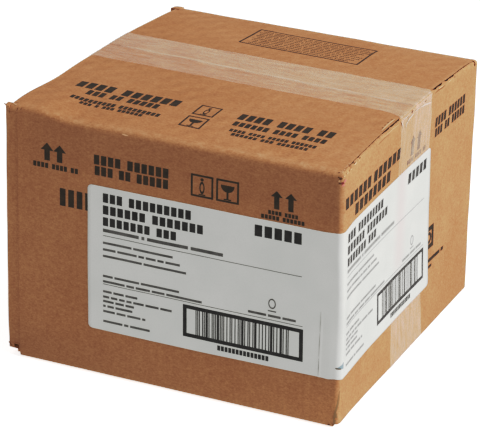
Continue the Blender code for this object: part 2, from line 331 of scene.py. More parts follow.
def paint(item, name, values):
    """Gives a mesh a value for each of its points, which its material reads."""
    attribute = item.data.attributes.new(name, "FLOAT", "POINT")
    attribute.data.foreach_set("value", np.asarray(values, np.float32))


def finish_piece(item, slot, *nodes):
    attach(item, "root")
    if nodes:
        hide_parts(*nodes)


def steps(low, high, pitch):
    return np.linspace(low, high, max(1, round((high - low) / pitch)) + 1)


def shell(columns, rows, place, lift, thickness):
    """A closed thin sheet over a grid. place gives the square carton's place of (a, b, lift)."""
    a, b = (part.ravel() for part in np.meshgrid(columns, rows))
    verts = np.concatenate([seat(place(a, b, lift + thickness)), seat(place(a, b, lift))])
    index = np.arange(len(a)).reshape(len(rows), len(columns))
    quads = np.stack([index[:-1, :-1], index[:-1, 1:], index[1:, 1:], index[1:, :-1]], -1).reshape(-1, 4)
    rim = np.concatenate([index[0, :], index[1:, -1], index[-1, -2::-1], index[-2:0:-1, 0]])
    after, below = np.roll(rim, -1), len(a)
    around = np.stack([rim + below, after + below, after, rim], -1)
    return verts, np.concatenate([quads, quads[:, ::-1] + below, around]), a, b


def object_from_bmesh(name, bm):
    mesh = bpy.data.meshes.new(name)
    bm.to_mesh(mesh)
    bm.free()
    return add_object(name, mesh)


def add_box(low, high, rolled_axis=None, radius=0.0, segments=6, name="block"):
    """A box whose edges along one axis, or else all edges, may be rounded."""
    bm = bmesh.new()
    bmesh.ops.create_cube(bm, size=1.0)
    for vert in bm.verts:
        for axis in range(3):
            vert.co[axis] = high[axis] if vert.co[axis] > 0 else low[axis]
    if radius:
        edges = bm.edges[:]
        if rolled_axis is not None:
            edges = [edge for edge in edges if edge.verts[0].co[rolled_axis] != edge.verts[1].co[rolled_axis]]
        bmesh.ops.bevel(bm, geom=edges, offset=radius, segments=segments, profile=0.5, affect="EDGES")
    return object_from_bmesh(name, bm)


def apply_boolean(item, operation, others):
    bpy.context.view_layer.objects.active = item
    for other in others:
        modifier = item.modifiers.new(other.name, "BOOLEAN")
        modifier.operation = operation
        modifier.object = other
        bpy.ops.object.modifier_apply(modifier=modifier.name)
        bpy.data.objects.remove(other, do_unlink=True)


def flap_boards():
    base_end = END - BASE_FLAP_SETBACK
    return [
        add_box((left, near, floor), (right, far, floor + BOARD))
        for floor, left, right in ((TOP - BOARD, FLAPS_LEFT, FLAPS_RIGHT), (0, -base_end, base_end))
        for near, far in ((-SIDE + SLOT, SEAM_Y), (SEAM_Y, SIDE - SLOT))
    ]


def standing_rims():
    """What stands up beside the top flaps: the right wall's rim, and the walls' corners."""
    inner_left = FLAPS_LEFT + UNDER_FLAP_DEPTH - RIM_GAP
    inner_right = FLAPS_RIGHT - UNDER_FLAP_DEPTH + RIM_GAP
    crushed_to = -SIDE + CRUSHED_CORNER
    parts = (
        (FLAPS_RIGHT + RIM_GAP, OUT_X, crushed_to - 3, RIM_Y, TOP - RIM_DROP, 2),
        (inner_right, OUT_X, RIM_Y, OUT_Y, TOP, None),
        (-OUT_X, inner_left, RIM_Y - REAR_POST_MORE, OUT_Y, TOP + REAR_STUB, 2),
        (-OUT_X, FLAPS_LEFT - 0.25, -OUT_Y, -SIDE + LEFT_POST_DEPTH, TOP, 2),
        (inner_right - 3, OUT_X, -OUT_Y, crushed_to, TOP - 0.1, None),
    )
    spike = add_box((-1.3, -0.3, -0.35), (1.3, 0.3, 0.35))
    for vert in spike.data.vertices:
        vert.co.z = vert.co.z * (1.2 + vert.co.x / 1.5) - 0.55 * vert.co.x
        vert.co += Vector((-END + 0.75, -SIDE + 0.6, TOP + 0.1))
    rims = [spike]
    for left, right, near, far, top, rolled_axis in parts:
        rim = add_box((-END, -SIDE, TOP - RIM_REACH), (END, SIDE, top), rolled_axis, RIM_RADIUS)
        kept = add_box((left, near, TOP - RIM_REACH + RIM_RADIUS), (right, far, TOP + OUT))
        apply_boolean(rim, "INTERSECT", [kept])
        rims.append(rim)
    low, high = (FLAPS_LEFT, -SIDE, TOP - 8), (FLAPS_LEFT + 8, -SIDE + 8, TOP)
    return rims + [add_box(low, high, 0, SCORE_RADIUS, 7)]


def carton_cutters():
    seam = (SEAM_Y - SEAM_WIDTH / 2, SEAM_Y + SEAM_WIDTH / 2)
    recess = TAPE_WIDTH / 2 + RECESS_MARGIN
    hole_x = STRIP_X - JOINT_HOLE_SHIFT
    boxes = (
        ((-OUT_X, seam[0], TOP - SEAM_GROOVE), (OUT_X, seam[1], TOP + OUT)),
        ((-OUT_X, seam[0], -OUT), (OUT_X, seam[1], SEAM_GROOVE)),
        ((-OUT_X, -recess, -OUT), (OUT_X, recess, BASE_RECESS)),
        ((-OUT_X, -OUT_Y, JOINT_SLOT_HIGH + BOARD), (STRIP_X, -SIDE + JOINT_STEP, TOP - SCORE_RADIUS)),
        ((-OUT_X, -OUT_Y, -OUT), (STRIP_X, JOINT_SLOT_Y, JOINT_SLOT_HIGH)),
        ((STRIP_X - JOINT_LINE, -OUT_Y, JOINT_SLOT_HIGH), (STRIP_X, -SIDE + JOINT_LINE_DEPTH, TOP - 6)),
        ((hole_x - JOINT_HOLE_WIDTH, -OUT_Y, -OUT), (hole_x, JOINT_SLOT_Y, JOINT_HOLE_HIGH)),
        ((FLAPS_RIGHT + 0.1, RIM_Y - CORNER_NOTCH, TOP - BOARD), (OUT_X, RIM_Y, TOP + OUT)),
    )
    return [add_box(low, high) for low, high in boxes]


def slice_mesh(bm, cuts_by_axis, low=(-OUT_X, -OUT_Y, -OUT), high=(OUT_X, OUT_Y, TOP + OUT)):
    """Cuts the faces whose middle is within a box by planes across each axis."""
    middles = [(face, face.calc_center_median()) for face in bm.faces]
    faces = [face for face, at in middles if all(low[i] < at[i] < high[i] for i in range(3))]
    geometry = list(dict.fromkeys(part for face in faces for part in (*face.verts, *face.edges, face)))
    for axis, cuts in enumerate(cuts_by_axis):
        normal = Vector((0, 0, 0))
        normal[axis] = 1
        for cut in cuts:
            plane = {"plane_co": normal * cut, "plane_no": normal}
            geometry = bmesh.ops.bisect_plane(bm, geom=geometry, dist=0.01, **plane)["geom"]


def slant_seam(points):
    """The seam is cut straight in the square carton; here the flaps' edges take their slant."""
    x, y, z = points.T
    points[:, 1] += (z > TOP - BOARD - 0.1) * hump(y, SEAM_Y, 85) * (seam_line(x) - SEAM_Y)


def fray_flap_ends(points):
    """The cut ends of the flaps are frayed, and the rim beside them leans in or out and is uneven."""
    x, y, z = points.T
    past = x - FLAPS_RIGHT
    rough = 1 + 0.3 * ripple(y, y, 6, 25) + 0.3 * ripple(y, y, 2.6, 26)
    opened = np.clip(look_up(y, OPEN_GAP) * rough, 0, 2.2)
    along = (abs(y) < SIDE - SLOT + 0.1) & (y > -SIDE + CRUSHED_CORNER + 0.1)
    flap_edge = along & (z > TOP - 0.1) & (abs(past) < 0.05)
    rim_top = along & (past > 0.3) & (z > TOP - RIM_DROP - 0.05)
    outer = rise(past, RIM_GAP + 0.3, END - FLAPS_RIGHT)
    height = RIM_DROP - 0.12 - (0.5 * opened + 0.4 * outer) + 0.06 * ripple(y, y, 5, 24)
    fray = 0.08 * ripple(y, y, 15, 21) + 0.1 * ripple(y, y, 4, 23) - 0.12
    points[:, 0] += flap_edge * fray
    points[:, 2] += rim_top * height - 0.12 * flap_edge
    inner_face = along & (abs(past - RIM_GAP) < 0.05) & (z > TOP - 4)
    points[:, 0] -= inner_face * (RIM_GAP - 0.06 - 0.5 * opened)
    back_corner = rise(y, 104, 110) * rise(x, FLAPS_RIGHT, FLAPS_RIGHT + 1)
    points[:, 0] += 0.1 * back_corner * rise(z, TOP - 12, TOP)


def gap_darkness(points):
    """Painted shade: where a face lies inside a gap, slot, groove or hole of the board, out of the light,
    and on the rear left post's stub. The spike at the front left corner is darkened too.
    """
    x, y, z = points.T
    from_front, from_top = y + SIDE, TOP - z
    from_side = np.minimum(END - abs(x), SIDE - abs(y))
    near_top = (from_top < 6) & (from_front > CRUSHED_CORNER - 0.5)
    flap_end = near_top & (abs(x - FLAPS_RIGHT) < 0.05)
    rim = near_top & (x > FLAPS_RIGHT + 0.3) & (from_top > RIM_DROP + 0.05)
    in_slot = near_top & (abs(abs(y) - SIDE + SLOT) < 0.7) & (x > FLAPS_RIGHT - 6)
    in_hole = (x < STRIP_X + 0.1) & (z < JOINT_HOLE_HIGH + 0.1) & (y < JOINT_SLOT_Y + 0.1)
    in_line = (abs(x - STRIP_X) < JOINT_LINE + 0.1) & (from_front < JOINT_LINE_DEPTH + 0.1)
    spike = (x < -END - 0.05) & (from_top < 4)
    post = (x < FLAPS_LEFT + UNDER_FLAP_DEPTH) & (from_top < 1) & (abs(y - RIM_Y + REAR_POST_MORE) < 0.1)
    return np.maximum.reduce([
        0.9 * post,
        0.9 * spike,
        flap_end * rise(from_top, 0.1, 0.35),
        rim * rise(from_side, 0.3, 0.6),
        in_slot * rise(np.minimum(from_side, from_top), 0.05, 0.5),
        in_hole * rise(from_side, 0.42, 0.8),
        0.3 * in_line * (z > JOINT_HOLE_HIGH) * rise(from_side, 0.1, 0.4),
    ])


def fold_wear_and_highlight(points):
    """How scuffed the board is: along its folds, in patches, and a painted highlight along the top of
    the left flaps' cut end.
    """
    x, y, z = points.T
    from_end, from_long, from_top = END - abs(x), SIDE - abs(y), TOP - z
    patches = 0.55 + 0.45 * ripple(x + y, z * 1.3, 13, 31)
    fold = np.maximum.reduce([
        fall(from_long, 4, 10) * fall(from_top, 0.3, 1.2),
        0.7 * fall(np.hypot(from_end, from_long), 1, 4),
        0.5 * fall(np.hypot(from_end, from_top), 1.5, 5),
        0.4 * fall(np.hypot(from_end, z), 1, 5),
        0.4 * fall(np.hypot(from_long, z), 1, 5),
        # Painted highlight along the top of the left flaps' cut end.
        1.3 * fall(abs(x - FLAPS_LEFT), 0.3, 2.2) * fall(from_top, 0.3, 1.2),
    ])
    return np.clip(fold * patches, 0, 1)


def painted_shade_and_mottle(points):
    """Painted shade on the front wall: darker under the top fold, beside the near upright edge and, by
    FOOT_SHADE, at the foot, where below zero it is painted light. On the top flaps it is a mottle of the
    board's own tone, lighter towards the back.
    """
    x, y, z = points.T
    front = fall(y + SIDE, 1, 5)
    top = rise(z, TOP - 5, TOP - 1) * (1 - front)
    # Painted shade under the top fold, beside the near upright edge and at the foot, where below zero it is
    # painted light.
    under_fold = 0.6 * rise(z, 134, 152) * rise(x, -115, -85)
    near_corner = 0.45 * rise(x, 92, 110) * rise(z, 110, 145)
    foot = look_up(x, FOOT_SHADE) * fall(z, 8, 36)
    flaps = 0.55 * ripple(x, y * 0.6, 9, 61) - 0.35 * rise(y, 30, 70)
    return np.clip(front * (under_fold + near_corner + foot) + top * flaps, -1, 1)


def make_carton(kraft, board_edge):
    low, high = (-END, -SIDE, WALL_FOOT), (END, SIDE, TOP - BOARD - UNDER_FLAP_GAP)
    carton = add_box(low, high, None, FOLD_RADIUS, name="carton_board")
    for vert in carton.data.vertices:
        if vert.co.z < TOP / 2:
            vert.co.z -= FOOT_SLOPE * vert.co.y / SIDE
    low, high = (FLAPS_LEFT + UNDER_FLAP_DEPTH, -SIDE, 0), (FLAPS_RIGHT - UNDER_FLAP_DEPTH, SIDE, TOP)
    wrap = add_box(low, high, 0, SCORE_RADIUS, 7)
    apply_boolean(carton, "UNION", [wrap] + flap_boards() + standing_rims())
    apply_boolean(carton, "DIFFERENCE", carton_cutters())

    bm = bmesh.new()
    bm.from_mesh(carton.data)
    for edge in bm.edges:
        edge.smooth = len(edge.link_faces) == 2 and edge.calc_face_angle(0) < radians(32)
    sides = ((-END, END), (-SIDE, SIDE), (0, TOP))
    slice_mesh(bm, [steps(*side, GRID)[1:-1] for side in sides])
    slice_mesh(
        bm,
        ([END - 0.6], steps(*sides[1], 1)[1:-1], [TOP - depth for depth in (0.3, 0.6, 1.4, 2.4)]),
        (FLAPS_RIGHT - 1, -SIDE, TOP - 4), (END + 1, SIDE, TOP + 1),
    )
    slice_mesh(
        bm,
        ([END - depth for depth in range(1, 8)], [-SIDE + depth for depth in range(1, 8)]),
        (END - 8, -SIDE - 1, 0), (END + 1, -SIDE + 8, TOP - 10),
    )
    for face in bm.faces:
        centre = face.calc_center_median()
        at_flap_end = min(abs(centre.x - end) for end in (FLAPS_LEFT, FLAPS_RIGHT)) < 0.1
        at_base_end = centre.z < BOARD and abs(centre.x) < END - 1
        face.material_index = int(abs(face.normal.x) > 0.9 and (at_flap_end or at_base_end))
        face.smooth = True
    bmesh.ops.triangulate(bm, faces=[face for face in bm.faces if len(face.verts) > 4])
    bm.to_mesh(carton.data)
    bm.free()

    points = np.array([vert.co for vert in carton.data.vertices])
    looks = {"wear_and_highlight": fold_wear_and_highlight(points), "gap": gap_darkness(points), "shade": painted_shade_and_mottle(points)}
    slant_seam(points)
    fray_flap_ends(points)
    carton.data.vertices.foreach_set("co", seat(points).ravel())
    carton.data.materials.append(kraft)
    carton.data.materials.append(board_edge)
    for name, values in looks.items():
        paint(carton, name, values)
    finish_piece(carton, "kraft_board", "carton")


def tape_route(level, outward, tail):
    """The tape's course as (x, z) of its inner side and which way it faces, from end to end."""
    route = []
    for side in (-1, 1):
        flat_end = END - FOLD_RADIUS - 0.5
        if outward < 0:
            turns = [(sin(turn), cos(turn)) for turn in np.radians((20, 45, 70, 90))]
            fold = [(END - FOLD_RADIUS * (1 - out), FOLD_RADIUS * (1 - up), out, up) for out, up in turns]
        elif side > 0:
            fold = [(FLAPS_RIGHT + 0.2, 0, 0.3, 1), (END - 0.4, -0.5, 0.7, 0.7)]
            fold += [(END, -1.3, 1, 0.2), (END, -3.6, 1, 0)]
        else:
            flat_end = -FLAPS_LEFT - 1.5
            fold = [(0.25 - FLAPS_LEFT, -0.1, 0.5, 0.9), (0.7 - FLAPS_LEFT, -0.9, 1, 0.3)]
            fold += [(0.95 - FLAPS_LEFT, -2.6, 1, 0.1), (END + 0.25, -4.6, 1, 0)]
        flat = [(x, 0, 0, 1) for x in steps(0, flat_end, 2.5)[side < 0:]]
        down = [(END, -outward * z, 1, 0) for z in (*steps(5, 14, 0.9)[:-1], *steps(14, tail, 2.5))]
        half = [(side * x, level + z, side * out, up) for x, z, out, up in flat + fold + down]
        route = half[::-1] if side < 0 else route + half
    return np.array(route)


def make_tape(name, level, outward, tail, middle, film, bumps):
    """A closing tape. middle gives its middle's y for (x, z), and bumps how far it stands off."""
    route = tape_route(level, outward, tail)
    across = np.concatenate([[-0.5, -0.485, -0.47], np.linspace(-0.45, 0.45, 37), [0.47, 0.485, 0.5]])

    def spots(index, share):
        x, z, out, up = route[np.round(index).astype(int)].T
        return x, middle(x, z) + tape_width(x, z) * share * outward, z, out, up

    def place(index, share, lift):
        x, y, z, out, up = spots(index, share)
        y = y + 0.15 * ripple(x + z, share * 9, 31, 41)
        lift = lift + bumps(x, y, z)
        return np.stack([x + out * lift, y, z + outward * up * lift], -1)

    verts, faces, index, share = shell(range(len(route)), across, place, TAPE_LIFT, TAPE_THICKNESS)
    tape = new_object(name, verts, faces, film)
    tape.visible_shadow = False
    return tape, *(np.tile(part, 2) for part in spots(index, share)[:3])


def on_tail(x):
    return rise(abs(x), END - 12, END)


def tape_width(x, z):
    """The tapes lie flatter, and so a little wider, on the end walls, most of all low down."""
    return TAPE_WIDTH * (1 + on_tail(x) * (0.06 + 0.05 * fall(z, 0, 30)))


def top_tape_middle(x, z):
    on_top = 10.6 - 0.02 * np.clip(x, -END, END) - 1.9 * rise(x, 100, END)
    down = np.clip(TOP - 4 - z, 0, 60)
    return on_top + np.where(abs(x) > FLAPS_RIGHT, 0.05 * down - 2.5 * hump(down, 0, 12), 0)


def bottom_tape_middle(x, z):
    return 0.5 + on_tail(x) * (2 - 1.6 * fall(z, 0, 30))


def seam_ridge(x, y, z):
    return (z > TOP - 0.5) * (abs(x) < END - 14) * hump(y, seam_line(x), 1.4)


def fold_ridge(x, y, z):
    """The arched wrinkle where the tape meets the end wall below the flaps."""
    on_wall = (abs(x) > END - 1) & (z < TOP - 2)
    broken = np.clip(0.6 + 0.4 * ripple(y, y, 9, 46), 0.1, 1)
    return on_wall * hump(z, look_up(y, TAPE_WRINKLE), 1.6) * broken


def top_tape_bumps(x, y, z):
    bubbles = 0.05 * (1 + ripple(x * 0.5, y * 1.6, 9, 42))
    return bubbles + 0.3 * seam_ridge(x, y, z) + 0.22 * fold_ridge(x, y, z)


def bottom_tape_bumps(x, y, z):
    return 0.03 * (1 + ripple(x, y + z, 11, 43))


def make_tapes(film):
    tape, x, y, z = make_tape("tape_over_top", TOP, 1, TOP_TAIL, top_tape_middle, film, top_tape_bumps)
    frost_and_highlight = 0.24 + 0.17 * rise(y - seam_line(x), -1, 1) + 0.1 * ripple(x * 0.35, y * 1.8, 10, 44)
    # Painted highlights: the film is whiter along the seam's ridge and the wrinkle's arch.
    frost_and_highlight += 0.6 * seam_ridge(x, y, z) + 0.2 * fold_ridge(x, y, z) - 0.12 * (z < TOP - 4)
    paint(tape, "frost_and_highlight", np.clip(frost_and_highlight, 0, 1.3))
    finish_piece(tape, "clear_tape", "tape_top")

    tape, x, y, z = make_tape(
        "tape_under_base", BASE_RECESS, -1, BASE_TAIL, bottom_tape_middle, film, bottom_tape_bumps,
    )
    paint(tape, "frost_and_highlight", np.clip(0.26 + 0.12 * ripple(x * 0.35 + z, y * 1.8, 12, 45), 0, 1))
    finish_piece(tape, "clear_tape", "tape_bottom")


def label_place(along, z, lift):
    """A place on the label: along runs from the corner, negative on the front wall."""
    on_tape = rise(along, 55, 85)
    reach = FOLD_RADIUS + lift + (LABEL_LIFT_ON_TAPE - LABEL_LIFT) * on_tape + label_bumps(along, z)
    angle = (np.clip(along / CORNER_TURN, -0.5, 0.5) - 0.5) * pi / 2
    x = END - FOLD_RADIUS + reach * np.cos(angle) + np.minimum(along + CORNER_TURN / 2, 0)
    y = -SIDE + FOLD_RADIUS + reach * np.sin(angle) + np.maximum(along - CORNER_TURN / 2, 0)
    return np.stack([x, y, z], -1)


def label_bumps(along, z):
    """The crease beside the corner, and the loose paper between it and the corner."""
    return fall(z, 66, 84) * (0.3 * hump(along, -14 + 0.02 * z, 0.9) + 0.4 * hump(along, -7, 7))


def make_label(paper):
    turn = CORNER_TURN / 2
    ends = (-LABEL_FRONT, -turn - 16, -turn, turn, turn + 8, LABEL_END)
    stretches = zip(ends[:-1], ends[1:], (2.6, 0.5, 0.8, 0.8, 2.6))
    columns = np.unique(np.concatenate([steps(*stretch) for stretch in stretches]))
    rows = steps(LABEL_LOW, LABEL_HIGH, 2.6)
    extra = np.array([0.35, 0.9, 1.8])
    rows = np.concatenate([rows[:1], LABEL_LOW + extra, rows[1:-1], LABEL_HIGH - extra[::-1], rows[-1:]])

    def place(along, z, lift):
        # The outermost columns and rows are drawn in so that the corners come out round.
        to_side = np.minimum(along + LABEL_FRONT, LABEL_END - along)
        into_edge = np.maximum(LABEL_ROUNDING - np.minimum(z - LABEL_LOW, LABEL_HIGH - z), 0)
        short = LABEL_ROUNDING - np.sqrt(np.maximum(LABEL_ROUNDING ** 2 - into_edge ** 2, 0))
        fade = np.clip(1 - to_side / (4 * LABEL_ROUNDING), 0, 1)
        along = along + np.where(along < (LABEL_END - LABEL_FRONT) / 2, 1, -1) * short * fade
        slant = 0.018 * (TOP / 2 - z) - 0.09 * np.maximum(z - 98, 0)
        spots, lows, highs = zip(*LABEL_EDGES)
        low, high = np.interp(along, spots, lows), np.interp(along, spots, highs)
        z = low + (z - LABEL_LOW) / (LABEL_HIGH - LABEL_LOW) * (high - low)
        return label_place(along + slant * rise(along, 60, LABEL_END), z, lift)

    verts, faces, along, z = shell(columns, rows, place, LABEL_LIFT, LABEL_THICKNESS)
    label = new_object("corner_label", verts, faces, paper)
    paint(label, "stain", np.tile(hump(along, 107, 14) * rise(z, 60, 75), 2))
    finish_piece(label, "label_paper", "label")


def on_front(a, b, lift):
    rolled = np.clip(b - TOP + SCORE_RADIUS, 0, SCORE_RADIUS)
    turned_in = SCORE_RADIUS - np.sqrt(SCORE_RADIUS ** 2 - rolled ** 2)
    return np.stack([a, turned_in - SIDE - lift, b], -1)


def on_back(a, b, lift):
    return np.stack([-a, 0 * a + SIDE + lift, b], -1)


def off_corner(a, b):
    """Lines of print run straight past the bulge beside the corner, as seen from the right."""
    bulge = corner_bulge(a, b)
    return a - 2.2 * bulge, b + 1.1 * bulge


def on_end(a, b, lift):
    a, b = off_corner(a, b)
    return np.stack([0 * a + END + lift, a, b], -1)


def on_left(a, b, lift):
    return np.stack([0 * a - END - lift, -a, b], -1)


def on_lid(a, b, lift):
    return np.stack([a, b, 0 * a + TOP + lift], -1)


def on_top(a, b, lift):
    return on_lid(a, b - 0.03 * a, lift)


def on_paper(a, b, lift):
    return label_place(a, b, lift + LABEL_LIFT + LABEL_THICKNESS)


def on_label_front(a, b, lift):
    return on_paper(a - (END - FOLD_RADIUS) - CORNER_TURN / 2, b, lift)


def on_label_end(a, b, lift):
    a, b = off_corner(a, b)
    return on_paper(a + SIDE - FOLD_RADIUS + CORNER_TURN / 2, b, lift)


class Print:
    """Flat shapes gathered from four-cornered pieces and laid on one face, in one ink."""

    def __init__(self, name, place, ink, slot="kraft_board", lift=INK_LIFT, shift=0):
        self.name, self.place, self.ink, self.slot = name, place, ink, slot
        self.lift, self.shift = lift, shift
        self.verts, self.faces = [], []

    def quad(self, corners):
        """corners go anticlockwise from the lower left."""
        p = np.array(corners, float) + (self.shift, 0)
        sides = np.linalg.norm(p - np.roll(p, -1, 0), axis=1)
        columns, rows = (
            np.linspace(0, 1, max(1, ceil(max(pair) / GRID)) + 1) for pair in (sides[::2], sides[1::2])
        )

        def place(u, v, lift):
            u, v = u[:, None], v[:, None]
            spot = (1 - v) * ((1 - u) * p[0] + u * p[1]) + v * (u * p[2] + (1 - u) * p[3])
            return self.place(*spot.T, lift)

        verts, faces, _, _ = shell(columns, rows, place, self.lift, INK_THICKNESS)
        self.faces.append(faces + sum(map(len, self.verts)))
        self.verts.append(verts)

    def bar(self, a0, a1, b0, b1):
        self.quad([(a0, b0), (a1, b0), (a1, b1), (a0, b1)])

    def words(self, *lines):
        """Lines of large text as plain blocks, one a letter, with a gap between the words."""
        gap, space = 0.26, 0.75
        for a0, a1, b0, b1, *letters in lines:
            advance = (a1 - a0) / (sum(letters) + space * (len(letters) - 1) - gap)
            for count in letters:
                for _ in range(count):
                    self.bar(a0, a0 + advance * (1 - gap), b0, b1)
                    a0 += advance
                a0 += advance * space

    def small_words(self, a0, b0, b1, lengths, gap):
        """A line of small text: one plain bar for each word."""
        for length in lengths:
            self.bar(a0, a0 + length, b0, b1)
            a0 += length + gap

    def frame(self, a0, a1, b0, b1, t):
        self.bar(a0, a1, b0, b0 + t)
        self.bar(a0, a1, b1 - t, b1)
        self.bar(a0, a0 + t, b0 + t, b1 - t)
        self.bar(a1 - t, a1, b0 + t, b1 - t)

    def arrow(self, middle, base, tip, head=4.5, stem=1.9):
        neck = tip - head * 0.98
        self.bar(middle - stem, middle + stem, base, neck)
        self.quad([(middle - head, neck), (middle + head, neck), (middle + 0.15, tip), (middle - 0.15, tip)])

    def blot(self, a, b, long, wide, tilt, seed):
        """A ragged spot of about long by wide, turned by tilt degrees."""
        draw = random.Random(seed)
        reach = np.array([draw.uniform(0.6, 1.1) / 2 for _ in range(9)])
        angle, turn = np.arange(9) * 2 * pi / 9, radians(tilt)
        u, v = long * reach * np.cos(angle), wide * reach * np.sin(angle)
        ring = np.stack([u * cos(turn) - v * sin(turn), u * sin(turn) + v * cos(turn)], -1)
        middle = np.array([a, b])
        for first, second in zip(ring, np.roll(ring, -1, 0)):
            self.quad([middle + first * 0.03, middle + first, middle + second, middle + second * 0.03])

    def streak(self, width, *places):
        """A line through points, thinner towards its ends."""
        points = np.reshape(places, (-1, 2))
        for number, (start, end) in enumerate(zip(points[:-1], points[1:])):
            run = (end - start) / np.linalg.norm(end - start)
            side = np.array([-run[1], run[0]]) * width / 2
            first = side * (0.3 if number == 0 else 1)
            last = side * (0.3 if number == len(points) - 2 else 1)
            self.quad([start - first, end - last, end + last, start + first])

    def disc(self, a, b, radius_a, radius_b, start=0, turn=360, hollow=0.03):
        """A filled or hollow round, or part of one, as a fan of twelve pieces."""
        angles = np.radians(np.linspace(start, start + turn, 13))
        for first, second in zip(angles[:-1], angles[1:]):
            ring = ((hollow, first), (1, first), (1, second), (hollow, second))
            self.quad([(a + r * radius_a * cos(t), b + r * radius_b * sin(t)) for r, t in ring])

    def glass(self, a, b, size):
        """A stemmed glass about size across, standing at (a, b)."""
        self.bar(a - 0.2 * size, a + 0.2 * size, b, b + 0.06 * size)
        self.bar(a - 0.05 * size, a + 0.05 * size, b + 0.06 * size, b + 0.42 * size)
        self.disc(a, b + 0.78 * size, 0.37 * size, 0.37 * size, 180, 180)

    def spindle(self, a, b, size):
        """A plain upright spindle with a knob, standing at (a, b)."""
        self.bar(a - 0.18 * size, a + 0.18 * size, b, b + 0.05 * size)
        self.disc(a, b + 0.4 * size, 0.14 * size, 0.34 * size, 90, 360, 0.62)
        self.disc(a, b + 0.83 * size, 0.09 * size, 0.08 * size)

    def build(self):
        verts, faces = np.concatenate(self.verts), np.concatenate(self.faces)
        item = new_object(self.name, verts, faces, bpy.data.materials[self.ink], smooth=False)
        finish_piece(item, self.slot)


def print_long_wall(name, place):
    p = Print(name, place, "carton_ink")
    p.arrow(-86.9, 145.6, 157)
    p.arrow(-77.8, 145.6, 157)
    p.words(
        (-97, -64.6, 140.2, 143.6, 4, 4, 2), (-53, -0.4, 149.6, 156, 4, 6),
        (-52.4, -0.6, 142.3, 148.4, 3, 2, 5),
    )
    for left, sign in ((15.4, p.spindle), (33, p.glass)):
        p.frame(left, left + 15.5, 141.4, 156.4, 1.2)
        sign(left + 7.75, 142.9, 12.6)
    p.arrow(74.2, 143.5, 155.5, 3.9, 1.7)
    p.arrow(83.8, 143.5, 155.5, 3.9, 1.7)
    p.words((68.6, 88.6, 139.4, 142, 4, 4), (63.8, 93, 135.9, 138.6, 5, 6))
    draw = random.Random(3)
    left = -77.6
    while left < 70:
        width = 4 if left < -60 else draw.choice((2.2, 3.0, 4.0))
        p.bar(left, left + width, 116.2, 128.2)
        left += width + 2.1
    p.build()


def print_end_wall(name, place):
    p = Print(name, place, "carton_ink")
    p.words(
        (-111, -68.6, 148.6, 156, 6), (-63.4, -17.8, 148.6, 156, 6), (-94, -33.6, 138.8, 146.4, 8),
        (43.2, 95.6, 147.8, 154.4, 4, 6), (44.4, 95.6, 140.2, 146.4, 3, 2, 5),
    )
    p.frame(36, 52.6, 59, 75.4, 3.4)
    p.disc(44.3, 67.2, 4.4, 4.4, hollow=0.5)
    p.small_words(40, 49, 51.6, (24, 4), 2)
    p.small_words(40, 44.6, 46.6, (10,), 2)
    p.arrow(3.8, 142.6, 156.2, 4.3, 2.5)
    p.arrow(14.8, 142.6, 156.2, 4.3, 2.5)
    p.words((-3.6, 28.4, 138, 141.4, 4, 4, 2))
    p.build()


def print_top():
    p = Print("top_print", on_top, "carton_ink")
    p.words(
        (-95, -20, -69.6, -60, 4, 6), (-82.4, -30, -78.6, -71.6, 3, 2, 5),
        (-88, -23, -89.2, -84.6, 10, 9), (-78.6, -33, -93.6, -90.2, 3, 1, 3, 6),
    )
    for low, sign in ((-75, p.spindle), (-93.8, p.glass)):
        p.frame(-6, 9.2, low, low + 15.6, 1.1)
        sign(1.6, low + 1.6, 12.6)
    p.words(
        (24, 90.6, -70, -60.6, 4, 4, 2), (25.4, 90, -79.8, -73.6, 6, 4, 4),
        (27.4, 87.6, -88.4, -84.6, 4, 4, 5, 6), (31, 84, -93.4, -89.8, 6, 3, 7),
    )
    frame_left, frame_right = -39, 52.4
    p.frame(frame_left, frame_right, 58.4, 94.6, 1.25)
    draw = random.Random(5)
    for row in range(9):
        inset = 3 + 5 * draw.random()
        left, right = frame_left + inset, frame_right - inset
        low = 61.6 + row * 3.5
        while left < right - 4:
            for _ in range(draw.randint(3, 9)):
                p.bar(left, left + 0.8, low, low + 1.25)
                left += 1.3
            left += 0.9
    p.build()


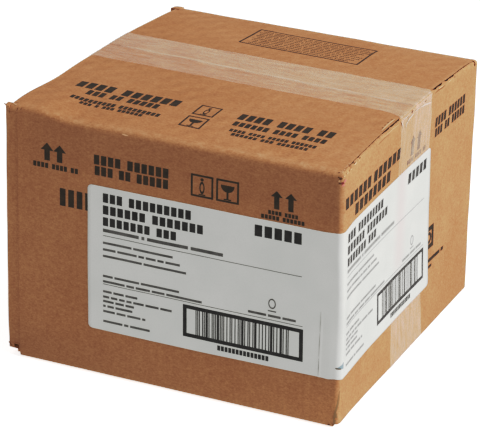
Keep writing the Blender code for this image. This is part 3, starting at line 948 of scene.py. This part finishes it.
def print_label(name, place, bold_ink, fine_ink, shift):
    """Both halves of the label carry the same layout, measured from its front half's left edge."""
    left, lift = LABEL_PRINT_LEFT, 0.02 + INK_LIFT
    bold = Print(name + "_bold", place, bold_ink, "label_paper", lift, shift)
    bold.words(
        (left, 15.6, 124.6, 130.8, 3, 9), (left, 24, 116.4, 122.4, 6, 7),
        (left, 5.4, 108.4, 114.2, 7, 3), (59.8, 91.4, 123, 130.6, 5),
    )
    bold.frame(10.6, 93.4, 42.6, 65.2, 2.5)
    draw = random.Random(8)
    bar_left, bars_end = 13.9 + 5.6, 91.3 - 5.6 - 1.5
    while bar_left < bars_end:
        width = draw.choice((0.6, 0.6, 1.5))
        bold.bar(bar_left, bar_left + width, 44.8, 63)
        bar_left += width + draw.choice((0.6, 0.6, 1.6))
    bold.words((34.8, 70, 37.7, 41.1, 14))
    bold.build()
    fine = Print(name + "_fine", place, fine_ink, "label_paper", lift, shift)
    fine.small_words(left, 104, 106.2, (25.6, 2, 28.6, 22.4), 2)
    for low, *lengths in (
        (95.6, 20.4, 28), (91, 9, 13.8, 4, 7, 4.4, 10), (86.4, 27.8, 30), (72.2, 7, 17.6, 27),
        (68.4, 15.6, 5.4, 10, 9, 25), (61.2, 6.2, 7.4, 8.4), (57.4, 4.4, 4.6, 4, 3.6, 7.4, 9.2, 8),
        (54.2, 7.6, 6, 6), (50.8, 1.8, 4.6, 12), (47, 8.4, 6.4, 9.4, 2.2), (39.8, 13.8, 3, 14),
    ):
        fine.small_words(left, low, low + 1.5, lengths, 1.3)
    fine.bar(left, 92, 101.2, 101.55)
    fine.bar(left, 93, 67.05, 67.4)
    fine.small_words(55.8, 69.2, 70.8, (12.4, 8.6, 9), 1.3)
    fine.disc(72.2, 78.6, 2.6, 3.6, hollow=0.75)
    fine.bar(69.4, 75, 73, 73.8)
    fine.build()


def draw_marks(name, place, ink, *strokes, slot="kraft_board", lift=MARK_LIFT):
    """Blots, of six numbers each, and streaks: a width and then the points' places in a row."""
    marks = Print(name, place, ink, slot, lift)
    for stroke in strokes:
        (marks.streak if len(stroke) % 2 else marks.blot)(*stroke)
    marks.build()


def tear_label():
    """The corner of the label that is torn off, down to the film under it."""
    tear = Print("label_tear", on_paper, "bare_film", "label_paper")
    for number in range(8):
        start, end = number / 8, (number + 1) / 8
        low = [(-2.6 + 6.7 * share, 43.1 - 1.5 * share) for share in (start, end)]
        high = [(-2.6 + 6.7 * share, 43.2 + 3 * share) for share in (end, start)]
        tear.quad(low + high)
    tear.build()


def from_srgb(colour):
    """A shader's colour from red, green and blue up to 255, all well above black."""
    return (*(((part / 255 + 0.055) / 1.055) ** 2.4 for part in colour), 1.0)


class Nodes:
    """A material being wired up, with the object's own place in mm as its coordinates."""

    def __init__(self, name, **looks):
        self.material = bpy.data.materials.new(name)
        self.material.use_nodes = True
        self.tree = self.material.node_tree
        self.shader = self.tree.nodes["Principled BSDF"]
        self.set(**looks)
        place = self.add("ShaderNodeTexCoord").outputs["Object"]
        scale = self.add("ShaderNodeVectorMath", {0: place, "Scale": 1 / MM}, operation="SCALE")
        self.place = scale.outputs[0]

    def feed(self, socket, value):
        """Joins a socket to another one, or sets it to a number or colour."""
        if isinstance(value, bpy.types.NodeSocket):
            self.tree.links.new(value, socket)
        else:
            socket.default_value = value

    def add(self, kind, inputs=(), **settings):
        node = self.tree.nodes.new(kind)
        for key, value in settings.items():
            setattr(node, key, value)
        for key, value in dict(inputs).items():
            self.feed(node.inputs[key], value)
        return node

    def set(self, **looks):
        for key, value in looks.items():
            self.feed(self.shader.inputs[key.replace("_", " ")], value)
        return self.material

    def noise(self, size, detail=3.0, roughness=0.55, stretch=(1, 1, 1), seed=0.0):
        """Noise with features of about this size in mm, from 0 to 1."""
        scale = [1 / (size * part) for part in stretch]
        place = self.add("ShaderNodeMapping", {
            "Location": (seed, seed * 0.7, seed * 1.3), "Scale": scale, "Vector": self.place,
        }).outputs[0]
        return self.add("ShaderNodeTexNoise", {
            "Scale": 1.0, "Detail": detail, "Roughness": roughness, "Vector": place,
        }).outputs["Fac"]

    def math(self, operation, a, b):
        return self.add("ShaderNodeMath", {0: a, 1: b}, operation=operation).outputs[0]

    def span(self, value, low, high, to_low=0.0, to_high=1.0):
        names = ("Value", "From Min", "From Max", "To Min", "To Max")
        return self.add("ShaderNodeMapRange", zip(names, (value, low, high, to_low, to_high))).outputs[0]

    def blend(self, factor, a, b, mode="MIX"):
        """Mixes what two nodes give, or colours given as red, green and blue up to 255."""
        a, b = (from_srgb(part) if isinstance(part, tuple) else part for part in (a, b))
        inputs = {0: factor, 6: a, 7: b}
        return self.add("ShaderNodeMix", inputs, data_type="RGBA", blend_type=mode).outputs[2]

    def layers(self, base, *layers):
        """Colours over a base, each where a noise goes from low to high and at most to a share."""
        for noise, low, high, share, colour in layers:
            base = self.blend(self.span(noise, low, high, 0, share), base, colour)
        return base

    def attribute(self, name):
        return self.add("ShaderNodeAttribute", attribute_name=name).outputs["Fac"]

    def bump(self, height, distance, strength):
        bump = self.add("ShaderNodeBump", {"Strength": strength, "Distance": distance, "Height": height})
        self.set(Normal=bump.outputs[0])


def kraft_material():
    n = Nodes("kraft_liner", Roughness=0.82, Specular_IOR_Level=0.25)
    clouds = n.noise(55, 2, seed=3)
    mottle = n.noise(9, 3, seed=5)
    speckle = n.noise(2.4, 4, 0.7, stretch=(1.5, 1, 1), seed=7)
    grain = n.noise(0.95, 3, 0.65, stretch=(1.5, 1, 1), seed=9)
    flutes = n.noise(2.6, 2, 0.5, stretch=(1, 9, 9), seed=10)
    base = n.blend(n.span(clouds, 0.35, 0.65), (186, 137, 99), (195, 146, 108))
    base = n.layers(
        base,
        (mottle, 0.3, 0.7, 0.42, (177, 127, 91)),
        (flutes, 0.35, 0.7, 0.22, (168, 118, 84)),
        (speckle, 0.5, 0.3, 0.34, (158, 108, 74)),
        (speckle, 0.52, 0.7, 0.3, (207, 160, 122)),
        (grain, 0.5, 0.28, 0.42, (150, 102, 70)),
        (grain, 0.52, 0.72, 0.36, (214, 168, 130)),
    )
    patches = n.noise(3.5, 4, 0.7, seed=12)
    # Pale scuffed fibre along the folds, and a painted highlight at the left flaps' cut end.
    worn_and_lit = n.math("MULTIPLY", n.attribute("wear_and_highlight"), n.span(patches, 0.38, 0.62))
    base = n.blend(n.math("MULTIPLY", worn_and_lit, 0.55), base, (220, 180, 142))
    # Painted shade, and below zero painted light, from the shade attribute multiplied into the colour.
    base = n.blend(1.0, base, n.span(n.attribute("shade"), -1, 1, 1.14, 0.86), "MULTIPLY")
    # Painted shade in the board's gaps, slots, groove and holes.
    base = n.blend(n.attribute("gap"), base, (140, 84, 50))
    n.bump(n.math("ADD", speckle, n.math("MULTIPLY", grain, 0.6)), 0.00012, 0.25)
    return n.set(Base_Color=base)


def board_edge_material():
    n = Nodes("board_cut_edge", Roughness=0.9, Specular_IOR_Level=0.2)
    lines = n.noise(0.7, 3, 0.6, stretch=(4, 5, 0.8), seed=2)
    crumbs = n.noise(1.8, 4, 0.7, seed=4)
    base = n.blend(n.span(lines, 0.35, 0.65), (136, 96, 66), (188, 143, 107))
    base = n.layers(base, (crumbs, 0.5, 0.75, 0.7, (214, 174, 137)))
    # Painted shade where the cut ends face into a gap.
    base = n.blend(n.attribute("gap"), base, (52, 30, 20))
    n.bump(crumbs, 0.0004, 0.7)
    return n.set(Base_Color=base)


def tape_material():
    n = Nodes("frosted_film", Roughness=0.34, IOR=1.47)
    streaks = n.noise(7, 3, 0.6, stretch=(2.4, 0.5, 2.4), seed=6)
    specks = n.noise(1.1, 2, 0.6, seed=8)
    # Frost, with the painted highlights along the seam and the wrinkle, makes the film whiter and less clear.
    frost_and_highlight = n.math("ADD", n.attribute("frost_and_highlight"), n.span(streaks, 0.35, 0.65, -0.09, 0.09))
    frost_and_highlight = n.math("ADD", frost_and_highlight, n.span(specks, 0.4, 0.7, -0.05, 0.06))
    n.bump(n.math("ADD", streaks, n.math("MULTIPLY", specks, 0.3)), 0.0002, 0.5)
    base = n.blend(n.span(streaks, 0.3, 0.7), (238, 214, 194), (245, 222, 203))
    return n.set(Base_Color=base, Alpha=n.span(frost_and_highlight, 0.0, 1.0, 0.07, 0.48))


def paper_material():
    n = Nodes("label_paper_white", Roughness=0.5)
    tooth = n.noise(0.9, 3, 0.6, seed=6)
    base = n.blend(n.span(n.noise(30, 2, seed=4), 0.35, 0.65), (226, 227, 222), (233, 233, 228))
    base = n.layers(base, (tooth, 0.45, 0.8, 0.25, (208, 208, 204)))
    base = n.blend(n.math("MULTIPLY", n.attribute("stain"), 0.5), base, (228, 212, 210))
    n.bump(tooth, 0.00005, 0.4)
    return n.set(Base_Color=base)


def ink_material(name, full, thin, roughness=0.6, kept=0.0):
    n = Nodes(name, Roughness=roughness)
    specks = n.noise(0.9, 3, 0.7, seed=14)
    cloud = n.noise(6, 2, seed=15)
    base = n.layers(full, (cloud, 0.35, 0.65, 0.35, thin), (specks, 0.6 + kept, 0.8 + kept, 0.8, thin))
    return n.set(Base_Color=base)


def make_camera():
    data = bpy.data.cameras.new("camera")
    data.sensor_width = 36.0
    data.lens = FOCAL_LENGTH * data.sensor_width / IMAGE_WIDTH
    data.clip_start, data.clip_end = 0.05, 50
    camera = add_object("camera", data)
    place = Matrix.Translation((Vector(CAMERA_PLACE) - Vector((*RECENTRE, 0))) * MM)
    for axis, angle in CAMERA_TURNS:
        place = place @ Matrix.Rotation(radians(angle), 4, axis)
    camera.matrix_world = place
    scene.camera = camera


def add_light(name, direction, distance, size, power):
    """A square softbox that looks at the carton from a direction."""
    data = bpy.data.lights.new(name, "AREA")
    data.size = size
    data.energy = power
    light = add_object(name, data)
    toward = Vector(direction).normalized()
    light.location = toward * distance + Vector((0, 0, 0.08))
    light.rotation_mode = "QUATERNION"
    light.rotation_quaternion = toward.to_track_quat("Z", "Y")
    return light


def make_studio():
    """A pale floor that only the camera sees, a large softbox at the right and an even surround."""
    white = (1, 1, 1, 1)
    bm = bmesh.new()
    bmesh.ops.create_grid(bm, x_segments=8, y_segments=8, size=6.0)
    floor = object_from_bmesh("studio_floor", bm)
    pale = Nodes("pale_floor", Base_Color=(0.9, 0.9, 0.9, 1), Roughness=0.9)
    floor.data.materials.append(pale.set(Emission_Color=white, Emission_Strength=0.75))
    floor.location.z = -0.5 * MM
    floor.visible_diffuse = False
    floor.visible_glossy = False
    floor.visible_shadow = False
    world = bpy.data.worlds.new("studio")
    world.use_nodes = True
    surround = world.node_tree.nodes["Background"].inputs
    surround["Color"].default_value = white
    surround["Strength"].default_value = SURROUND_LIGHT
    scene.world = world
    add_light("key_right", (0.855, -0.01, 0.518), 1.6, 0.9, 18.4)
    add_light("floor_bounce", (0, 0, -1), 0.5, 0.8, 0.26).location = (0.0, -0.4, -0.01)


def set_tone():
    settings = scene.view_settings
    settings.view_transform = "Standard"
    settings.use_curve_mapping = True
    curve = settings.curve_mapping.curves[3]
    curve.points[0].location = (0, 0)
    curve.points[1].location = (1, 1)
    for x, y in TONE_CURVE:
        curve.points.new(x, y)
    settings.curve_mapping.update()


make_camera()
make_studio()
set_tone()
for name, look in INKS.items():
    ink_material(name, *look)
make_carton(kraft_material(), board_edge_material())
make_tapes(tape_material())
make_label(paper_material())
print_long_wall("front_print", on_front)
print_long_wall("back_print", on_back)
print_end_wall("end_print", on_end)
print_end_wall("left_print", on_left)
print_top()

# Scuffs, torn liner and smears of the board, and painted shade in its pits, holes and creases.
draw_marks(
    "torn_liner_lid", on_lid, "torn_liner", (1.1, 114.9, -48, 114.6, -43, 114.2, -37, 114.3, -30, 114.6, -25),
    *((115.3 + 0.25 * (-1) ** n, -113.5 + 1.9 * n, 1.2, 0.8, 50 * n, n) for n in range(7)),
    (0.9, -114.2, -113, -112.6, -113.6, -111.2, -114.2, -109.6, -114.9),
)
draw_marks(
    "torn_liner_end", on_end, "torn_liner", (-97.2, 173.2, 4.6, 1.6, -8, 10), (-91.3, 172.6, 1.7, 1, 0, 11),
    (-104.5, 172.6, 3, 0.8, -5, 12), (-110, 172.8, 2.6, 0.8, -5, 13), (46.4, 172.9, 12, 0.9, -2, 14),
    (63, 172.7, 9, 0.7, 2, 15), (0.5, -52, 172.4, -44, 172, -34, 172.3, -26, 171.8),
)
draw_marks("torn_liner_front", on_front, "torn_liner", (-31.2, 173.1, 6, 0.8, -4, 16))
draw_marks(
    "torn_liner_corner", label_place, "torn_liner",
    (-2.2, 170.6, 1.8, 1.4, 30, 17), (1.4, 173.4, 1.8, 1.2, 10, 18),
)
# Painted shade in the holes and pits of the crushed board beside the flaps' ends and at the near right
# corner.
draw_marks(
    "pit_shade_lid", on_lid, "pit_shade", (113.5, -43, 2.2, 0.8, 85, 20), (113, -38, 2.2, 0.8, 85, 21),
    (113.1, -33.5, 2.2, 0.8, 85, 22), (113.4, -27.5, 2.2, 0.8, 85, 23),
    *((115.9, -108.5 + 1.9 * n, 0.9, 0.5, 60, 30 + n) for n in range(4)), (113.9, -114.4, 1.6, 1, 40, 36),
)
draw_marks(
    "pit_shade_end", on_end, "pit_shade", (-98.3, 174, 1.8, 1.2, 40, 27), (-90.2, 174, 1.6, 1.4, 40, 28),
    (71.8, 173.2, 2.4, 0.8, 10, 29),
)
draw_marks(
    "pit_shade_corner", label_place, "pit_shade", (-1.2, 172.4, 2.6, 2.2, 60, 31), (-1.9, 169, 2, 1, 10, 32),
    (0.7, -3, 173.6, -2.6, 173, -2, 172.6), (-6.2, 2.2, 1.8, 1.1, 0, 33),
)
# Painted shade in the board's creases: the front's top fold, the joint strip's curled foot, the end's rim and
# the left flaps' edge on the lid.
draw_marks(
    "fold_shade_front", on_front, "fold_shade", (0.6, -108.3, 174.2, -108.6, 173.2, -108.9, 171.8),
    (0.5, -106, 174.2, -106.1, 173.4, -106, 172.6), (0.9, -117.4, 9.6, -116.8, 8.2, -115.8, 7.2, -114.8, 6.6),
)
draw_marks(
    "fold_shade_end", on_end, "fold_shade", (0.7, 36.6, 171.4, 42, 171.9, 49, 171.6, 55.2, 171.9),
    (0.35, -60, 170.4, -52, 170.9, -42, 170.6),
)
draw_marks("flap_edge_shade_lid", on_lid, "fold_shade", (0.5, -114, -111.5, -114, -98, -114, -84, -114, -66))
draw_marks(
    "stain_corner", label_place, "red_smear", (2.2, 170.1, 2.6, 3, 90, 34), (0.5, 167.6, 3, 1.8, 10, 35),
    lift=MARK_LIFT + 0.05,
)
draw_marks("clot_corner", label_place, "red_clot", (-0.1, 169.3, 1.8, 2.2, 80, 37), lift=MARK_LIFT + 0.1)
draw_marks(
    "grime_corner", label_place, "corner_grime",
    (1.3, 0.6, 27, 0.2, 22, -0.3, 17.7, -1.3, 14, -2.1, 11.5, -2.7, 8, -3, 5.6),
    (-1.3, 9.4, 4.4, 1.6, 100, 51), (-2.4, 5, 3.4, 1.8, 75, 52),
)

# The label's crease as a painted shadow line, and its torn corner.
draw_marks(
    "label_crease_shadow", on_paper, "crease_shadow", (0.35, -13.1, 80, -13.3, 72, -13.4, 66),
    (0.5, -13.4, 65, -13.6, 57, -13.7, 49), (0.5, -13.7, 47.5, -13.8, 41, -13.9, 35.4),
    slot="label_paper", lift=INK_LIFT,
)
tear_label()
draw_marks(
    "label_tear_edge", on_paper, "torn_paper_edge",
    (0.9, -3, 43.2, -2.2, 43, -1.5, 42.8, -0.8, 42.7, -0.1, 42.6, 0.6, 42.4, 1.4, 42.3),
    slot="label_paper", lift=2 * INK_LIFT,
)

# Painted highlights along the tape's creases where it goes over the flaps' ends, and painted shade of
# the gap's holes seen through it.
draw_marks(
    "film_crease_highlights", on_end, "film_crease_highlight", (1, -23.6, 173.2, -22, 171.2, -20.4, 169.2, -19.1, 167.1),
    (1.1, -14.2, 165.4, -13.6, 168, -10.6, 169.4, -6, 170.2, -1.2, 170.8),
    (0.7, -0.6, 170.8, 4.4, 171, 9.5, 170.7), (1, 10, 170.6, 17.2, 169.8, 24, 168.7, 29.4, 167.7),
    (0.8, -20.6, 173.2, -16.4, 173, -11.7, 172.9),
    slot="clear_tape", lift=FILM_LIFT,
)
# Painted shade of the gap's holes, seen through the tape.
draw_marks(
    "film_spot_shades", on_end, "film_spot_shade", (-4.4, 173, 2.6, 1.9, 55, 41), (-11.9, 171.9, 1.5, 1.1, 30, 42),
    (18.9, 172, 2.8, 1.2, 20, 43), slot="clear_tape", lift=FILM_LIFT,
)

print_label("label_front", on_label_front, "label_ink", "label_fine_ink", 0)
print_label("label_end", on_label_end, "label_end_ink", "label_end_fine_ink", LABEL_END_SHIFT)
